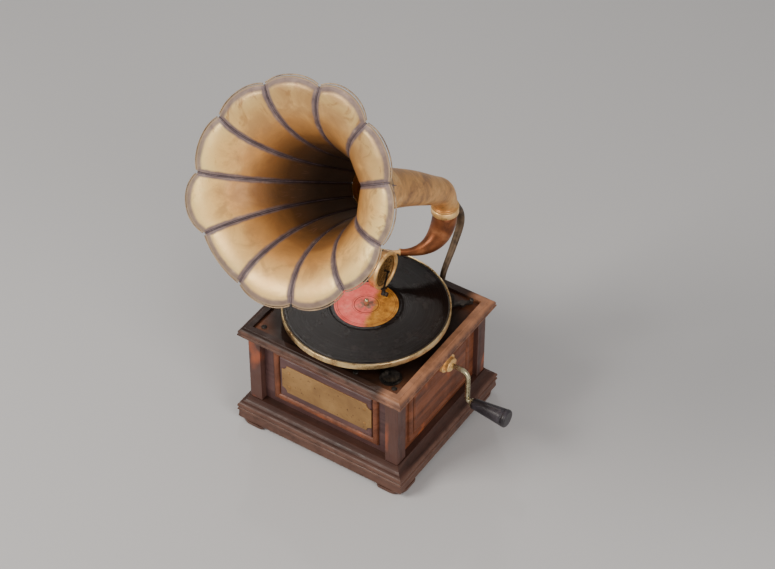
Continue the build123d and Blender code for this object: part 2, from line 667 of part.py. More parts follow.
def lofted_tube(stations):
    """A thin-walled tube through (middle, direction, radius) sections."""
    planes = [(Plane(Vector(*point), x_dir=(1, 0, 0), z_dir=Vector(*way)), r) for point, way, r in stations]
    outer = loft([plane * Circle(r) for plane, r in planes])
    return outer - loft([plane * Circle(r - WALL) for plane, r in planes])


def leaning(degrees):
    """The horn's direction forward and up, this far from the upright."""
    return (0, -math.sin(math.radians(degrees)), math.cos(math.radians(degrees)))


def elbow_station(degrees):
    """The middle of the elbow's bend, this far round it."""
    turn = math.radians(degrees)
    y = HORN_Y - ELBOW_BEND * (1 - math.cos(turn))
    return (HORN_X, y, COLLAR_Z[1] + ELBOW_BEND * math.sin(turn))


def horn_elbow():
    """The horn's foot: a tube that rises out of the collar, bends forward and widens."""
    start = COLLAR_Z[1] - 5.6
    foot = rod(TUBE_R, (start, COLLAR_Z[1]), HORN_X, HORN_Y) - rod(TUBE_R - WALL, (0, 400), HORN_X, HORN_Y)
    steps = 6
    stations = []
    for i in range(steps + 1):
        share = i / steps
        radius = TUBE_R + (NECK_R[0] - TUBE_R) * share
        stations.append((elbow_station(ELBOW_TURN * share), leaning(ELBOW_TURN * share), radius))
    bead_low = COLLAR_Z[1] + 0.1
    bead = [(TUBE_R - 0.6, 0), (21, 0), (21.6, 1.5), (21, 3.3), (TUBE_R - 0.6, 3.9)]
    return foot + lofted_tube(stations) + Pos(0, 0, bead_low) * spun(bead, HORN_X, HORN_Y)


def bell_point(back, radius, degrees):
    """A point of the bell: how far behind the rim's plane, how far from the axis, and the way round it."""
    tilt, turn = math.radians(BELL_TILT), math.radians(degrees)
    right, up = radius * math.cos(turn), radius * math.sin(turn)
    up -= BELL_SAG * (back / BELL_PROFILE[0][0]) ** 2
    y = BELL_Y + back * math.cos(tilt) + up * math.sin(tilt)
    z = BELL_Z - back * math.sin(tilt) + up * math.cos(tilt)
    return (HORN_X + right, y, z)


def horn_neck():
    """The tapering tube from the elbow to the petals."""
    lower = Vector(*elbow_station(ELBOW_TURN))
    slope = Vector(*leaning(ELBOW_TURN))
    upper = Vector(*bell_point(BELL_PROFILE[0][0] + 0.4, 0, 0))
    axis = Vector(*leaning(90 - BELL_TILT))
    throat_way = axis * 0.2 + slope * 0.8
    stations = [
        (lower + slope * 0.2, slope, NECK_R[0]),
        (lower + slope * 46, slope, NECK_R[1]),
        (lower + slope * 106, slope, NECK_R[2]),
        (upper - throat_way * 60, throat_way, NECK_R[3]),
        (upper, axis, BELL_PROFILE[0][1] + 0.6),
    ]
    return lofted_tube(stations)


def profile_normals():
    """The direction towards the listener at each point of the bell's profile, as (back, radius)."""
    normals = []
    for i in range(len(BELL_PROFILE)):
        a, b = BELL_PROFILE[max(i - 1, 0)], BELL_PROFILE[min(i + 1, len(BELL_PROFILE) - 1)]
        run, rise = b[0] - a[0], b[1] - a[1]
        size = math.hypot(run, rise)
        normals.append((-rise / size, run / size))
    return normals


ACROSS = (-1.0, -0.5, 0.0, 0.5, 1.0)  # columns of a petal's net, from seam to seam
SWELL = (0.0, 0.85, 1.0, 0.85, 0.0)
LOBE = (0.0, 1.22, 1.0, 1.22, 0.0)
PETAL_REACH = (18.0, 2.0, 9.0, 9.0, 9.0, 9.0, 9.0, 14.0, 8.0, 7.0, 8.0)  # rounded ends, past the rim's circle


def petal_middle(k):
    return FIRST_SEAM + PETAL_STEP * (k + 0.5)


def petal_net(k, depth):
    """Control points of one face of petal k, a given depth behind its front face."""
    rows = []
    middle = petal_middle(k)
    for i, ((back, radius), (nb, nr)) in enumerate(zip(BELL_PROFILE, profile_normals())):
        half = PETAL_STEP / 2 - math.degrees(SEAM_GAP / radius)
        lobe_share = (0, 0, 0, 0.05, 0.5, 1)[i]
        row = []
        for side, swell, lobe in zip(ACROSS, SWELL, LOBE):
            forward = PETAL_BULGE[i] * swell - depth
            reach = radius + nr * forward + PETAL_REACH[k] * lobe * lobe_share
            row.append(bell_point(back + nb * forward, reach, middle + half * side))
        rows.append(row)
    return rows


def slab(front, back):
    """The solid between two curved faces, given by nets of control points with the same shape."""
    faces = [Face.make_bezier_surface(front), Face.make_bezier_surface(back)]
    for i in (0, -1):
        faces.append(Face.make_bezier_surface([front[i], back[i]]))
        faces.append(Face.make_bezier_surface([[row[i] for row in front], [row[i] for row in back]]))
    return Solid(Shell(faces))


def horn_petals():
    return several([slab(petal_net(k, 0), petal_net(k, PETAL_T)) for k in range(PETALS)])


def seam_net(angle, depth):
    """Control points across a seam's thin blade, a given depth behind the petals' front."""
    rows = []
    for (back, radius), (nb, nr) in zip(BELL_PROFILE, profile_normals()):
        half = math.degrees((SEAM_GAP - 0.1) / radius)
        at = (back - nb * depth, radius - nr * depth)
        rows.append([bell_point(*at, angle + half * side) for side in (-1, 1)])
    return rows


def horn_seams():
    """Folded seams: thin blades in the joints, standing out behind the petals."""
    angles = [petal_middle(k) - PETAL_STEP / 2 for k in range(PETALS)]
    return several([slab(seam_net(angle, 0.1), seam_net(angle, SEAM_DEPTH)) for angle in angles])


WIRE_R = 0.9
WIRE_OFF = (1.5, 0.07)  # the wire's middle, off the petal's end, and more where the end is rounder


def rim_wire():
    """A wire bead along the rounded end of each petal."""
    wires = []
    back, radius = BELL_PROFILE[-1]
    for k in range(PETALS):
        middle = petal_middle(k)
        half = PETAL_STEP / 2 - math.degrees(2.2 / radius)
        points = []
        for side, lobe in zip(ACROSS, LOBE):
            reach = radius + PETAL_REACH[k] * lobe + WIRE_OFF[0] + WIRE_OFF[1] * PETAL_REACH[k]
            points.append(bell_point(back + 0.5, reach, middle + half * side))
        line = Bezier(*points)
        wires.append(sweep(Plane(line @ 0, z_dir=line % 0) * Circle(WIRE_R), line))
    return several(wires)


# ---------------------------------------------------------------- tone arm and soundbox
ARM_END = (4.0, 86.5, 255.0)
ARM_LINE = [
    (45, 145.6, 311.6), (45, 145.6, 306), (44.6, 141.5, 291), (42.5, 132, 275),
    (37, 118, 264), (28, 104.5, 258.5), (16, 93.2, 256), ARM_END,
]
ARM_RADII = [16.45, 18.6, 19.0, 17.4, 13.6, 9.4, 6.3, 5.2]
STUB_R = 3.6


def arm_axis():
    """The direction of the tone arm's end, which the gooseneck turns on."""
    return (Vector(*ARM_END) - Vector(*ARM_LINE[-2])).normalized()


def tone_arm():
    """A tapering curved tube that hangs by its flange in the collar."""
    outer = tube_solid(ARM_LINE, ARM_RADII)
    inner = tube_solid(ARM_LINE[:-1], [r - WALL for r in ARM_RADII[:-1]])
    low = COLLAR_Z[0]
    neck = rod(TUBE_R - 1.5, (low - 2.5, low + 5.6), HORN_X, HORN_Y)
    neck += rod(TUBE_R, (low + 2.9, low + 5.8), HORN_X, HORN_Y)
    bore = rod(TUBE_R - 1.5 - WALL, (low - 6, low + 10), HORN_X, HORN_Y)
    socket = Plane(Vector(*ARM_END), z_dir=arm_axis()) * Pos(0, 0, -6) * Cylinder(STUB_R + RUN, 14)
    return outer + neck - inner - bore - socket


def gooseneck():
    """The thin bent tube that carries the soundbox, turning in the tone arm's end."""
    u = arm_axis()
    tip = Vector(*ARM_END)
    stub = Plane(tip, z_dir=u) * Pos(0, 0, -4) * Cylinder(STUB_R, 9)
    stub += Plane(tip, z_dir=u) * Pos(0, 0, 1.6) * Cylinder(5.4, 2.6)
    back = BOX_X - BOX_DEPTH - 4.5
    middle = [tip + u * 16 + Vector(0, -1, -0.5), (back - 11, BOX_Y + 19, BOX_Z + 2)]
    line = Spline(tip + u, *middle, (back, BOX_Y, BOX_Z), tangents=[u, (1, 0, 0)])
    return stub + sweep(Plane(line @ 0, z_dir=line % 0) * Circle(3.2), line)


def facing(piece):
    """A piece drawn about +Z and standing on z = 0, set on the soundbox's axis with its front at BOX_X."""
    return Pos(BOX_X, BOX_Y, BOX_Z) * Rot(0, 90, 0) * piece


def soundbox_body():
    cup = [
        (0, -BOX_DEPTH), (BOX_R - 5, -BOX_DEPTH), (BOX_R - 1, -BOX_DEPTH + 4), (BOX_R - 1, -4.1),
        (27, -4.1), (27, -13), (0, -13),
    ]
    boss = rod(6.5, (-BOX_DEPTH - 4.5, -BOX_DEPTH))
    return facing(spun(cup) + boss)


def soundbox_ring():
    lip = arc_points((BOX_R - 2.2, -2.2), 2.2, 0, 90, 5)
    ring = [(25.6, -4.0), (BOX_R, -4.0)] + lip + [(27.6, 0), (25.6, -1.6)]
    return facing(spun(ring))


def diaphragm():
    return facing(rod(26.8, (-5.2, -4.7)))


def along_stylus(piece):
    """A piece drawn with the stylus bar running down -Z from the soundbox's axis, in front of the ring."""
    return Pos(BOX_X, BOX_Y, BOX_Z) * Rot(-STYLUS_LEAN, 0, 0) * piece


def stylus_bar():
    """The bar from the diaphragm's middle to the needle's chuck."""
    bar_piece = block((0.6, 2.8), (-1.5, 1.5), (-33, 2.2))
    bar_piece += bar(1.6, (-4.2, 0.8), 0, 0) + bar(2.6, (2.6, 3.8), 0, 0)
    bar_piece += block((0.5, 4.4), (-5.5, 5.5), (-29.5, -26.5))
    bar_piece += Pos(1.5, 0, -28) * Rot(90, 0, 0) * Cylinder(0.9, 15)  # the pin it rocks on
    bar_piece += rod(3.2, (-38.4, -31.5), 2.4, 0)
    bar_piece -= rod(1.0, (-45, -33), 2.4, 0)
    return along_stylus(bar_piece - bar(1.5 + RUN, (2.8, 9), 0, -35.4))


def needle():
    low = BOX_Z - (RECORD_TOP + LABEL_T + 0.35)
    tip = low / math.cos(math.radians(STYLUS_LEAN))
    profile = [(0, -tip), (0.9, -tip + 3.0), (0.9, -33.2), (0, -33.2)]
    return along_stylus(Pos(2.4, 0, 0) * spun(profile))


def needle_screw():
    """The thumbscrew that clamps the needle."""
    screw = bar(1.5, (3.5, 7.0), 0, -35.4) + bar(3.6, (7.0, 10.0), 0, -35.4)
    for i in range(10):
        screw -= Pos(0, 0, -35.4) * Rot(36 * i, 0, 0) * bar(0.5, (6, 11), 0, 3.8)
    return along_stylus(screw)


def bottom_board():
    half_w, half_d = BASE_W / 2 - BASE_RIM - 0.3, BASE_D / 2 - BASE_RIM - 0.3
    return block((-half_w, half_w), (-half_d, half_d), (2, 10))


NODES = {
    "base_moulding": base_moulding, "corner_feet": corner_feet, "bottom_board": bottom_board,
    "corner_posts": corner_posts, "front_panel": front_panel, "back_panel": back_panel,
    "left_panel": left_panel, "right_panel": right_panel, "panel_beads": panel_beads,
    "front_plate": front_plate, "plate_pins": plate_pins, "top_frame": top_frame,
    "motor_board": motor_board, "board_screws": board_screws, "speed_dial": speed_dial,
    "crank_escutcheon": escutcheon, "escutcheon_screws": escutcheon_screws, "winding_bush": winding_bush,
    "motor_plates": motor_plates, "motor_pillars": motor_pillars,
    "governor_bearings": governor_bearings, "click_spring": click_spring, "horn_bracket": horn_bracket,
    "bracket_screws": bracket_screws, "horn_collar": horn_collar,
    "platter": platter, "platter_rim": platter_rim, "turntable_felt": turntable_felt, "record": record,
    "record_label": record_label, "spindle": spindle, "spindle_gears": spindle_gears,
    "spring_barrel": spring_barrel, "barrel_cover": barrel_cover, "mainspring": mainspring,
    "governor_shaft": governor_shaft, "governor_disc": governor_disc, "governor_springs": governor_springs,
    "governor_weights": governor_weights,
    "winding_wheel": winding_wheel, "barrel_arbor": barrel_arbor, "click_pawl": click_pawl,
    "crank_arm": crank_arm, "winding_pinion": winding_pinion, "crank_grip": grip,
    "speed_knob": speed_knob, "brake_lever": brake_lever,
    "tone_arm": tone_arm, "gooseneck": gooseneck, "soundbox_body": soundbox_body,
    "soundbox_ring": soundbox_ring, "diaphragm": diaphragm, "stylus_bar": stylus_bar, "needle": needle,
    "needle_screw": needle_screw,
    "horn_elbow": horn_elbow, "horn_neck": horn_neck, "horn_petals": horn_petals, "horn_seams": horn_seams,
    "horn_rim_wire": rim_wire,
}

os.makedirs("parts", exist_ok=True)
for name, make in NODES.items():
    piece = Pos(-ORIGIN[0], -ORIGIN[1], -ORIGIN[2]) * make()
    export_step(piece, f"parts/{name}.step")
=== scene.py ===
"""Looks of the wind-up phonograph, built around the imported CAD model. Metres, +Z up, -Y is the front."""

import math

import bpy
import numpy as np
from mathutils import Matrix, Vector


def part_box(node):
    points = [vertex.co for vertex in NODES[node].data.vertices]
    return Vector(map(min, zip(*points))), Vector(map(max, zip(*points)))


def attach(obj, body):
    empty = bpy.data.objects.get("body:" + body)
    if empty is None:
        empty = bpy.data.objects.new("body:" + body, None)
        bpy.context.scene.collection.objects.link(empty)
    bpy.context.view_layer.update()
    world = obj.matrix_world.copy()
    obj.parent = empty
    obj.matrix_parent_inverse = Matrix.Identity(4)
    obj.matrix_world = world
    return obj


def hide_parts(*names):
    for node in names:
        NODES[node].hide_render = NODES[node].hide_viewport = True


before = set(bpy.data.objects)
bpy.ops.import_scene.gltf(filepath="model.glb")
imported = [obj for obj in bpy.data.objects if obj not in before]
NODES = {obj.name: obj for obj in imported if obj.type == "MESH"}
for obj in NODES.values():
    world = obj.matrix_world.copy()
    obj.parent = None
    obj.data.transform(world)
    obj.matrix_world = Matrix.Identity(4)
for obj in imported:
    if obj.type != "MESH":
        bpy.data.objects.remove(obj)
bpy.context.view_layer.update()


# ------------------------------------------------------------ places read from the CAD
def middle(node):
    low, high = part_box(node)
    return (low + high) / 2


CASE = middle("base_moulding")
BASE_LOW, BASE_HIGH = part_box("base_moulding")
TOP_LOW, TOP_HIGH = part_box("top_frame")
SPINDLE = middle("record")
HORN = middle("horn_collar")
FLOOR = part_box("corner_feet")[0].z


# ------------------------------------------------------------ node graphs
def srgb(r, g, b):
    """A colour on a 0 to 255 screen scale, as linear light."""
    out = []
    for v in (r / 255, g / 255, b / 255):
        out.append(v / 12.92 if v <= 0.04045 else ((v + 0.055) / 1.055) ** 2.4)
    return (*out, 1.0)


class Graph:
    """A material, and short ways to add nodes to it. An input is a number, a tuple or a socket."""

    def __init__(self, name):
        self.material = bpy.data.materials.new(name)
        self.material.use_nodes = True
        self.tree = self.material.node_tree
        self.shader = self.tree.nodes["Principled BSDF"]

    def put(self, socket, value):
        if isinstance(value, bpy.types.NodeSocket):
            self.tree.links.new(value, socket)
        elif value is not None:
            socket.default_value = value

    def set(self, **values):
        for key, value in values.items():
            self.put(self.shader.inputs[key.replace("_", " ")], value)

    def make(self, kind, **props):
        node = self.tree.nodes.new(kind)
        for key, value in props.items():
            setattr(node, key, value)
        return node

    def place(self):
        return self.make("ShaderNodeTexCoord").outputs["Object"]

    def attribute(self, name):
        return self.make("ShaderNodeAttribute", attribute_name=name).outputs["Fac"]

    def math(self, operation, a, b=None, c=None, clamp=False):
        node = self.make("ShaderNodeMath", operation=operation, use_clamp=clamp)
        for socket, value in zip(node.inputs, (a, b, c)):
            self.put(socket, value)
        return node.outputs[0]

    def vector(self, operation, a, b=None):
        node = self.make("ShaderNodeVectorMath", operation=operation)
        self.put(node.inputs[0], a)
        self.put(node.inputs[1], b)
        return node.outputs["Value" if operation == "LENGTH" else "Vector"]

    def split(self, vector):
        node = self.make("ShaderNodeSeparateXYZ")
        self.put(node.inputs[0], vector)
        return node.outputs[0], node.outputs[1], node.outputs[2]

    def join(self, x, y, z):
        node = self.make("ShaderNodeCombineXYZ")
        for socket, value in zip(node.inputs, (x, y, z)):
            self.put(socket, value)
        return node.outputs[0]

    def noise(self, vector, scale=1.0, detail=4.0, rough=0.55, warp=0.0):
        node = self.make("ShaderNodeTexNoise")
        self.put(node.inputs["Vector"], vector)
        for key, v in (("Scale", scale), ("Detail", detail), ("Roughness", rough), ("Distortion", warp)):
            node.inputs[key].default_value = v
        return node.outputs["Fac"]

    def span(self, value, low, high, to_low=0.0, to_high=1.0, smooth=True):
        node = self.make("ShaderNodeMapRange", interpolation_type="SMOOTHSTEP" if smooth else "LINEAR")
        limits = {"Value": value, "From Min": low, "From Max": high, "To Min": to_low, "To Max": to_high}
        for key, v in limits.items():
            self.put(node.inputs[key], v)
        return node.outputs[0]

    def mix(self, share, a, b, blend="MIX"):
        node = self.make("ShaderNodeMix", data_type="RGBA", blend_type=blend)
        self.put(node.inputs["Factor"], share)
        self.put(node.inputs[6], a)
        self.put(node.inputs[7], b)
        return node.outputs[2]

    def ramp(self, value, *stops):
        node = self.make("ShaderNodeValToRGB")
        self.put(node.inputs[0], value)
        keys = node.color_ramp.elements
        while len(keys) < len(stops):
            keys.new(0.5)
        for key, (at, colour) in zip(keys, stops):
            key.position = at
            key.color = colour
        return node.outputs[0]

    def bump(self, height, distance, strength=1.0, normal=None):
        node = self.make("ShaderNodeBump")
        self.put(node.inputs["Height"], height)
        self.put(node.inputs["Normal"], normal)
        node.inputs["Distance"].default_value = distance
        node.inputs["Strength"].default_value = strength
        return node.outputs[0]

    def scaled(self, x, y, z):
        return self.vector("MULTIPLY", self.place(), (x, y, z))


def from_spindle(g):
    """The flat way from the spindle's axis to the place, and its length."""
    x, y, _ = g.split(g.place())
    way = g.join(g.math("SUBTRACT", x, SPINDLE.x), g.math("SUBTRACT", y, SPINDLE.y), 0.0)
    return way, g.vector("LENGTH", way)


def tips_mask(g, half_x, half_y, inner, outer):
    """1 at the outermost tips of a four-sided moulding and 0 further in, from the place alone."""
    x, y, _ = g.split(g.place())
    from_x = g.math("SUBTRACT", half_x, g.math("ABSOLUTE", g.math("SUBTRACT", x, CASE.x)))
    from_y = g.math("SUBTRACT", half_y, g.math("ABSOLUTE", g.math("SUBTRACT", y, CASE.y)))
    inset = g.math("MINIMUM", from_x, from_y)
    return g.span(inset, inner, outer, 1.0, 0.0)


ALONG_GRAIN, ACROSS_GRAIN = 7, 85  # noise cells in a metre


def grain_place(g, along):
    """Places stretched along the grain. "mitre" turns the grain at the corners of a four-sided frame."""
    if along != "mitre":
        return g.scaled(*[ALONG_GRAIN if axis == along else ACROSS_GRAIN for axis in "xyz"])
    x, y, z = g.split(g.place())
    off_x, off_y = g.math("SUBTRACT", x, CASE.x), g.math("SUBTRACT", y, CASE.y)
    half_x, half_y = (BASE_HIGH.x - BASE_LOW.x) / 2, (BASE_HIGH.y - BASE_LOW.y) / 2
    from_x = g.math("SUBTRACT", half_x, g.math("ABSOLUTE", off_x))
    from_y = g.math("SUBTRACT", half_y, g.math("ABSOLUTE", off_y))
    side = g.math("LESS_THAN", from_x, from_y)
    wide_x, wide_y, wide_z = [g.math("MULTIPLY", v, ACROSS_GRAIN) for v in (x, y, z)]
    runs_x = g.join(g.math("MULTIPLY", x, ALONG_GRAIN), wide_y, wide_z)
    runs_y = g.join(wide_x, g.math("MULTIPLY", y, ALONG_GRAIN), g.math("ADD", wide_z, 9))
    return g.mix(side, runs_x, runs_y)


def wood(name, along, base, dark, light, worn=None, painted_lighting=None, gloss=0.44):
    g = Graph(name)
    run = grain_place(g, along)
    figure = g.noise(run, 0.55, 5, 0.62, 1.4)
    colour = g.ramp(figure, (0.28, dark), (0.5, base), (0.74, light))
    pores = g.noise(g.vector("MULTIPLY", run, (3.0, 3.0, 3.0)), 1.6, 3, 0.7, 0.3)
    colour = g.mix(g.span(pores, 0.56, 0.7, 0.0, 0.35), colour, dark)
    clouds = g.noise(g.place(), 14, 4, 0.6)
    colour = g.mix(g.span(clouds, 0.35, 0.7, 0.0, 0.32), colour, light)
    murk = g.noise(g.place(), 33, 3, 0.5)
    colour = g.mix(g.span(murk, 0.58, 0.78, 0.0, 0.4), colour, dark)
    # Painted light and shade: a mask and a colour standing in for warm highlights, a pool of light or
    # shade.
    if painted_lighting:
        where, tint = painted_lighting(g)
        colour = g.mix(where, colour, tint)
    # The paler tips of the mouldings are partly edge wear and partly a painted highlight.
    if worn:
        where, tint = worn(g)
        broken = g.math("MULTIPLY", where, g.span(g.noise(g.place(), 60, 5, 0.65), 0.3, 0.62, 0.35, 1.0))
        colour = g.mix(broken, colour, tint)
    rough = g.span(g.noise(g.place(), 45, 4, 0.6), 0.3, 0.75, gloss - 0.08, gloss + 0.16)
    g.set(Base_Color=colour, Roughness=rough, Specular_IOR_Level=0.3, Coat_Weight=0.05, Coat_Roughness=0.3)
    dents = g.noise(g.place(), 90, 3, 0.5)
    normal = g.bump(dents, 0.0006, 0.35)
    g.set(Normal=g.bump(pores, 0.0002, 0.5, normal))
    return g.material


def metal(name, base, shade, light, rough, metallic, scale, brushed=(220, 220, 220), spots=None, coat=0.0):
    g = Graph(name)
    clouds = g.noise(g.place(), scale, 5, 0.62, 0.6)
    colour = g.ramp(clouds, (0.3, shade), (0.52, base), (0.76, light))
    fine = g.noise(g.place(), scale * 9, 4, 0.7)
    colour = g.mix(g.span(fine, 0.55, 0.75, 0.0, 0.45), colour, shade)
    if spots:
        marks = g.noise(g.place(), 150, 2, 0.5)
        colour = g.mix(g.span(marks, 0.64, 0.7), colour, spots)
    lines = g.noise(g.scaled(*brushed), 1.0, 4, 0.7)
    g.set(Base_Color=colour, Metallic=metallic, Coat_Weight=coat, Coat_Roughness=0.2)
    g.set(Roughness=g.span(g.math("ADD", g.math("MULTIPLY", clouds, 0.6), g.math("MULTIPLY", lines, 0.4)),
                           0.3, 0.7, rough - 0.08, rough + 0.14))
    g.set(Normal=g.bump(lines, 0.00012, 0.5, g.bump(clouds, 0.0006, 0.25)))
    return g.material


# ------------------------------------------------------------ colours
WOOD_BASE, WOOD_DARK, WOOD_LIGHT = srgb(68, 44, 37), srgb(42, 26, 22), srgb(92, 62, 52)
# Colour of the paler moulding tips: partly real edge wear, partly a painted highlight on the outermost
# beads.
WORN_AND_HIGHLIT = srgb(104, 74, 62)
FRONT_BASE, FRONT_DARK, FRONT_LIGHT = srgb(88, 62, 61), srgb(64, 43, 43), srgb(110, 80, 77)
SIDE_BASE, SIDE_DARK, SIDE_LIGHT = srgb(112, 64, 42), srgb(72, 40, 27), srgb(142, 86, 58)
BOARD_BASE, BOARD_DARK, BOARD_LIGHT = srgb(98, 56, 34), srgb(56, 31, 20), srgb(128, 78, 50)


# Paler outermost tips, partly edge wear and partly a painted highlight.
def worn_and_highlit_tips(low, high):
    half_x, half_y = (high.x - low.x) / 2, (high.y - low.y) / 2
    return lambda g: (tips_mask(g, half_x, half_y, 0.0006, 0.005), WORN_AND_HIGHLIT)


def painted_highlight_spots(tint, low=0.6, high=0.72):
    """Painted warm highlights, scattered in spots by noise."""
    return lambda g: (g.span(g.noise(g.scaled(26, 26, 15), 1.0, 2, 0.4), low, high, 0.0, 0.6), tint)


def painted_light_right_run(g):
    """Painted light: the right run of the top moulding, paler and warmer, as if a lamp fell strongly on it.
    """
    x, _, _ = g.split(g.place())
    # Painted light, strongest on the right run of the moulding.
    share = g.span(g.math("SUBTRACT", x, CASE.x), 0.1, 0.125, 0.0, 0.85)
    broken = g.span(g.noise(g.place(), 40, 4), 0.3, 0.6, 0.6, 1.0)
    return g.math("MULTIPLY", share, broken), srgb(190, 134, 100)


def platter_shade(g):
    """Painted shade: darker wood on the board round the platter, where its shadow falls."""
    _, reach = from_spindle(g)
    # Painted shade round the platter.
    return g.span(reach, 0.134, 0.17, 0.92, 0.0), srgb(20, 12, 8)


TOP_WOOD = srgb(46, 30, 24), srgb(28, 18, 15), srgb(66, 44, 36)
# Colours of the painted warm highlights on the corner posts and on the side panels.
POST_HIGHLIGHT, SIDE_HIGHLIGHT = srgb(196, 104, 62), srgb(186, 100, 58)
MATERIALS = {
    "base": wood("walnut_base", "mitre", WOOD_BASE, WOOD_DARK, WOOD_LIGHT, worn_and_highlit_tips(BASE_LOW, BASE_HIGH)),
    "top": wood("walnut_top", "mitre", *TOP_WOOD, worn_and_highlit_tips(TOP_LOW, TOP_HIGH), painted_lighting=painted_light_right_run),
    "post": wood("walnut_post", "z", srgb(88, 60, 54), WOOD_DARK, WOOD_LIGHT, painted_lighting=painted_highlight_spots(POST_HIGHLIGHT)),
    "front": wood("walnut_front", "x", FRONT_BASE, FRONT_DARK, FRONT_LIGHT),
    "side": wood("walnut_side", "y", SIDE_BASE, SIDE_DARK, SIDE_LIGHT, painted_lighting=painted_highlight_spots(SIDE_HIGHLIGHT)),
    "board": wood("walnut_board", "x", BOARD_BASE, BOARD_DARK, BOARD_LIGHT, painted_lighting=platter_shade, gloss=0.42),
    "bottom": wood("walnut_plain", "y", WOOD_DARK, srgb(40, 25, 22), WOOD_BASE, gloss=0.6),
}

# key: material's name, colour, shaded colour, light colour, roughness, metallic share, cells in a metre
METALS = {
    "old_gold": ("old_gold", (226, 168, 100), (146, 98, 56), (252, 214, 150), 0.38, 0.6, 26),
    "copper": ("copper", (142, 84, 50), (84, 48, 30), (182, 122, 80), 0.38, 0.7, 30),
    "bright_brass": ("bright_brass", (252, 206, 136), (206, 150, 88), (255, 232, 176), 0.38, 0.6, 55),
    "bracket": ("bracket_brass", (112, 92, 72), (56, 44, 34), (160, 134, 106), 0.5, 0.5, 34),
    "plate": ("antique_brass", (168, 130, 82), (142, 106, 68), (190, 152, 102), 0.5, 0.55, 18),
    "rim": ("rim_brass", (226, 196, 142), (160, 122, 82), (246, 226, 182), 0.28, 0.85, 30),
    "nickel": ("nickel", (206, 196, 158), (130, 118, 96), (236, 230, 204), 0.24, 0.9, 60),
    "steel": ("steel", (168, 168, 170), (110, 110, 112), (200, 200, 202), 0.3, 0.95, 60),
    "dark_steel": ("dark_steel", (58, 54, 52), (30, 28, 28), (104, 96, 88), 0.4, 0.7, 60),
    "movement": ("movement_brass", (206, 172, 100), (146, 112, 62), (226, 200, 138), 0.3, 0.9, 60),
    "iron": ("cast_iron", (84, 84, 86), (52, 52, 54), (112, 112, 114), 0.55, 0.5, 90),
    "grip": ("ebonised_wood", (44, 40, 46), (26, 23, 27), (74, 68, 76), 0.4, 0.0, 48),
    "lead": ("lead", (96, 96, 100), (70, 70, 74), (122, 122, 126), 0.6, 0.3, 60),
    "seam": ("seam_paint", (106, 90, 96), (74, 60, 66), (144, 126, 128), 0.5, 0.15, 40),
    "lip": ("lip_gilt", (168, 142, 112), (112, 92, 80), (206, 180, 144), 0.45, 0.4, 40),
}
EXTRAS = {
    "plate": {"brushed": (30, 500, 500), "spots": srgb(116, 84, 56)},
    "grip": {"brushed": (40, 400, 400), "coat": 0.12},
}
for key, (name, base, shade, light, rough, metallic, scale) in METALS.items():
    colours = srgb(*base), srgb(*shade), srgb(*light)
    MATERIALS[key] = metal(name, *colours, rough, metallic, scale, **EXTRAS.get(key, {}))


GROOVE_PITCH = 0.0009
FIRST_GROOVE, LAST_GROOVE = 0.121, 0.0575  # radii


def record_material():
    """Shellac with fine grooves, and plain rings outside and inside them. Dust lies here and there."""
    g = Graph("shellac_grooves")
    off, reach = from_spindle(g)
    groove = g.math("SINE", g.math("MULTIPLY", reach, 2 * math.pi / GROOVE_PITCH))
    inside = g.math("MULTIPLY", g.span(reach, LAST_GROOVE, LAST_GROOVE + 0.001),
                    g.span(reach, FIRST_GROOVE - 0.0008, FIRST_GROOVE, 1.0, 0.0))
    loud = g.noise(g.join(g.math("MULTIPLY", reach, 900), 0.0, 0.0), 1.0, 4, 0.75)
    dust = g.span(g.noise(g.vector("MULTIPLY", off, (30, 30, 30)), 1.0, 5, 0.7), 0.5, 0.78, 0.0, 0.28)
    black = g.ramp(loud, (0.35, srgb(14, 9, 8)), (0.7, srgb(26, 18, 16)))
    g.set(Base_Color=g.mix(dust, black, srgb(66, 52, 46)), Specular_IOR_Level=0.14)
    g.set(Roughness=g.span(loud, 0.3, 0.7, 0.2, 0.3))
    g.set(Normal=g.bump(g.math("MULTIPLY", groove, inside), 0.00003, 0.3, g.bump(loud, 0.00004, 0.2)))
    return g.material


LABEL_RINGS = ((0.0185, 0.0011), (0.0215, 0.0004), (0.0440, 0.0006), (0.0465, 0.0005))  # radius, width


